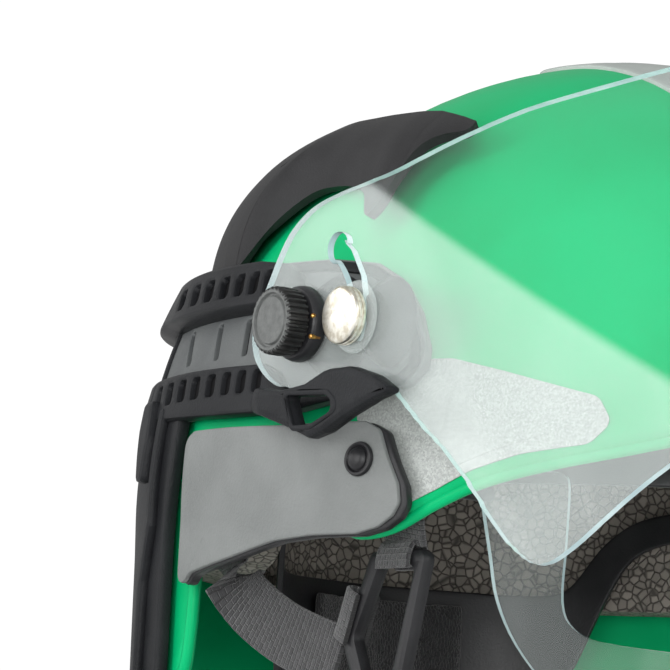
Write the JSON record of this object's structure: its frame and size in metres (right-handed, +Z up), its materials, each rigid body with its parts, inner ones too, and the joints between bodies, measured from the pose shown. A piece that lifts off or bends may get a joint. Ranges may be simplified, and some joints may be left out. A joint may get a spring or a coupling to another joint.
{
  "type": "forestry helmet",
  "caption": "Green hard-shell helmet with raised clear visor, louvred side frames, rear hood, cover plates, bead-foam liner, inner eye shield and chin strap.",
  "frame": {"origin": "centre of the helmet on the plane of its widest section, just above the ear arches, where the head is held", "axes": "+Z up, -Y to the front (the visor), -X to the wearer's right"},
  "size_m": [0.28, 0.3728, 0.2687],
  "materials": {
    "green_shell": "gloss",
    "clear_sheet": "clear polycarbonate, gloss",
    "black_nylon": "satin, fine grain",
    "plate_nylon": "grained matt",
    "grey_plate": "satin",
    "silver_film": "reflective film",
    "nickel_metal": "polished",
    "clear_washer": "clear",
    "bead_foam": "moulded beads",
    "pad_fabric": "knit",
    "webbing": "woven webbing"
  },
  "bodies": {
    "helmet": {"outer_shell": "green_shell", "top_plate": "grey_plate", "rear_hood": "black_nylon", "rear_frame": "black_nylon", "foam_liner": "bead_foam", "headband": "black_nylon", "brow_pad": "pad_fabric", "crown_pad": "pad_fabric", "chin_strap_right": "webbing", "chin_strap_left": "webbing", "buckle_socket": "black_nylon", "buckle_tongue": "black_nylon", "chin_pad": "pad_fabric", "side_frame_right": "black_nylon", "side_frame_left": "black_nylon", "nape_strut_right": "black_nylon", "nape_strut_left": "black_nylon", "cover_plate_right": "plate_nylon", "cover_plate_left": "plate_nylon", "cover_stud_right": "black_nylon", "cover_stud_left": "black_nylon", "reflective_decal_right": "silver_film", "reflective_decal_left": "silver_film", "pivot_post_right": "nickel_metal", "pivot_post_left": "nickel_metal", "clamp_collar_right": "black_nylon", "clamp_collar_left": "black_nylon", "visor_stud_right": "nickel_metal", "visor_stud_left": "nickel_metal", "stud_washer_right": "clear_washer", "stud_washer_left": "clear_washer", "shield_pin_right": "black_nylon", "shield_pin_left": "black_nylon", "front_strap_right": "webbing", "front_strap_left": "webbing", "rear_strap_right": "webbing", "rear_strap_left": "webbing", "strap_divider_right": "black_nylon", "strap_divider_left": "black_nylon"},
    "visor": {"visor": "clear_sheet"},
    "eye_shield": {"eye_shield": "clear_sheet"},
    "cradle": {"nape_cradle": "black_nylon", "nape_pad": "pad_fabric", "ratchet_housing": "black_nylon"},
    "ratchet_knob": {"ratchet_knob": "black_nylon"},
    "knob_right": {"clamp_knob_right": "black_nylon"},
    "knob_left": {"clamp_knob_left": "black_nylon"},
    "buckle_button": {"buckle_button": "grey_plate"}
  },
  "joints": [
    {"name": "visor_tilt", "type": "hinge", "parent": "helmet", "child": "visor", "pos_m": [0, -0.029, 0.0475], "axis": [1, 0, 0], "range_deg": [0, 35]},
    {"name": "clamp_turn_right", "type": "hinge", "parent": "helmet", "child": "knob_right", "pos_m": [-0.1329, -0.029, 0.0475], "axis": [-1, 0, 0], "continuous": true},
    {"name": "clamp_turn_left", "type": "hinge", "parent": "helmet", "child": "knob_left", "pos_m": [0.1329, -0.029, 0.0475], "axis": [1, 0, 0], "continuous": true},
    {"name": "eye_shield_tilt", "type": "hinge", "parent": "helmet", "child": "eye_shield", "pos_m": [0, -0.066, 0.003], "axis": [-1, 0, 0], "range_deg": [0, 12]},
    {"name": "size_slide", "type": "slide", "parent": "helmet", "child": "cradle", "axis": [0, -1, 0], "range_m": [0, 0.012]},
    {"name": "ratchet_turn", "type": "hinge", "parent": "cradle", "child": "ratchet_knob", "pos_m": [0, 0.1263, -0.034], "axis": [0, 1, 0], "range_deg": [0, 360]},
    {"name": "buckle_press", "type": "slide", "parent": "helmet", "child": "buckle_button", "axis": [-0.487, 0, 0.8734], "range_m": [0, 0.0018], "stiffness_N_per_m": 400}
  ],
  "couplings": [
    {"joint": "size_slide", "follows": "ratchet_turn", "m_per_rad": 0.0019}
  ]
}
